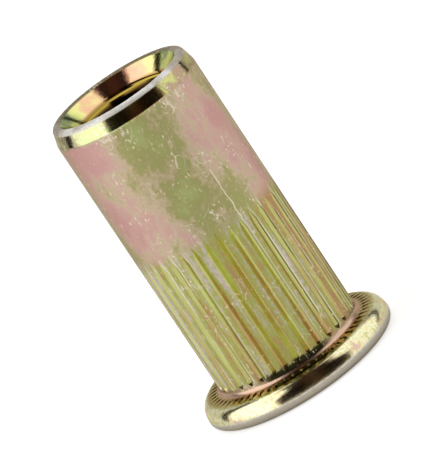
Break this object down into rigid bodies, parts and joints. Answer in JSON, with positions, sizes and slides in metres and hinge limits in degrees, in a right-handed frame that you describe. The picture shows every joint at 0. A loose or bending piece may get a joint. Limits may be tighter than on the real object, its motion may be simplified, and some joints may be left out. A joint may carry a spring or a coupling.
{
  "type": "rivet nut",
  "caption": "Flat-head blind rivet nut in yellow-passivated steel: flanged sleeve with a fluted folding zone, serrated grip face and a countersunk, threaded open end.",
  "frame": {"origin": "centre of the head face, where the nut stands", "axes": "+Z along the nut's axis, from the head face to the open end"},
  "size_m": [0.012, 0.012, 0.0194],
  "materials": {
    "yellow_zinc": "zinc-plated steel with an iridescent yellow chromate passivate, glossy on the turned edges and scuffed on the body"
  },
  "bodies": {
    "root": {"rivet_nut": "yellow_zinc"}
  },
  "joints": []
}
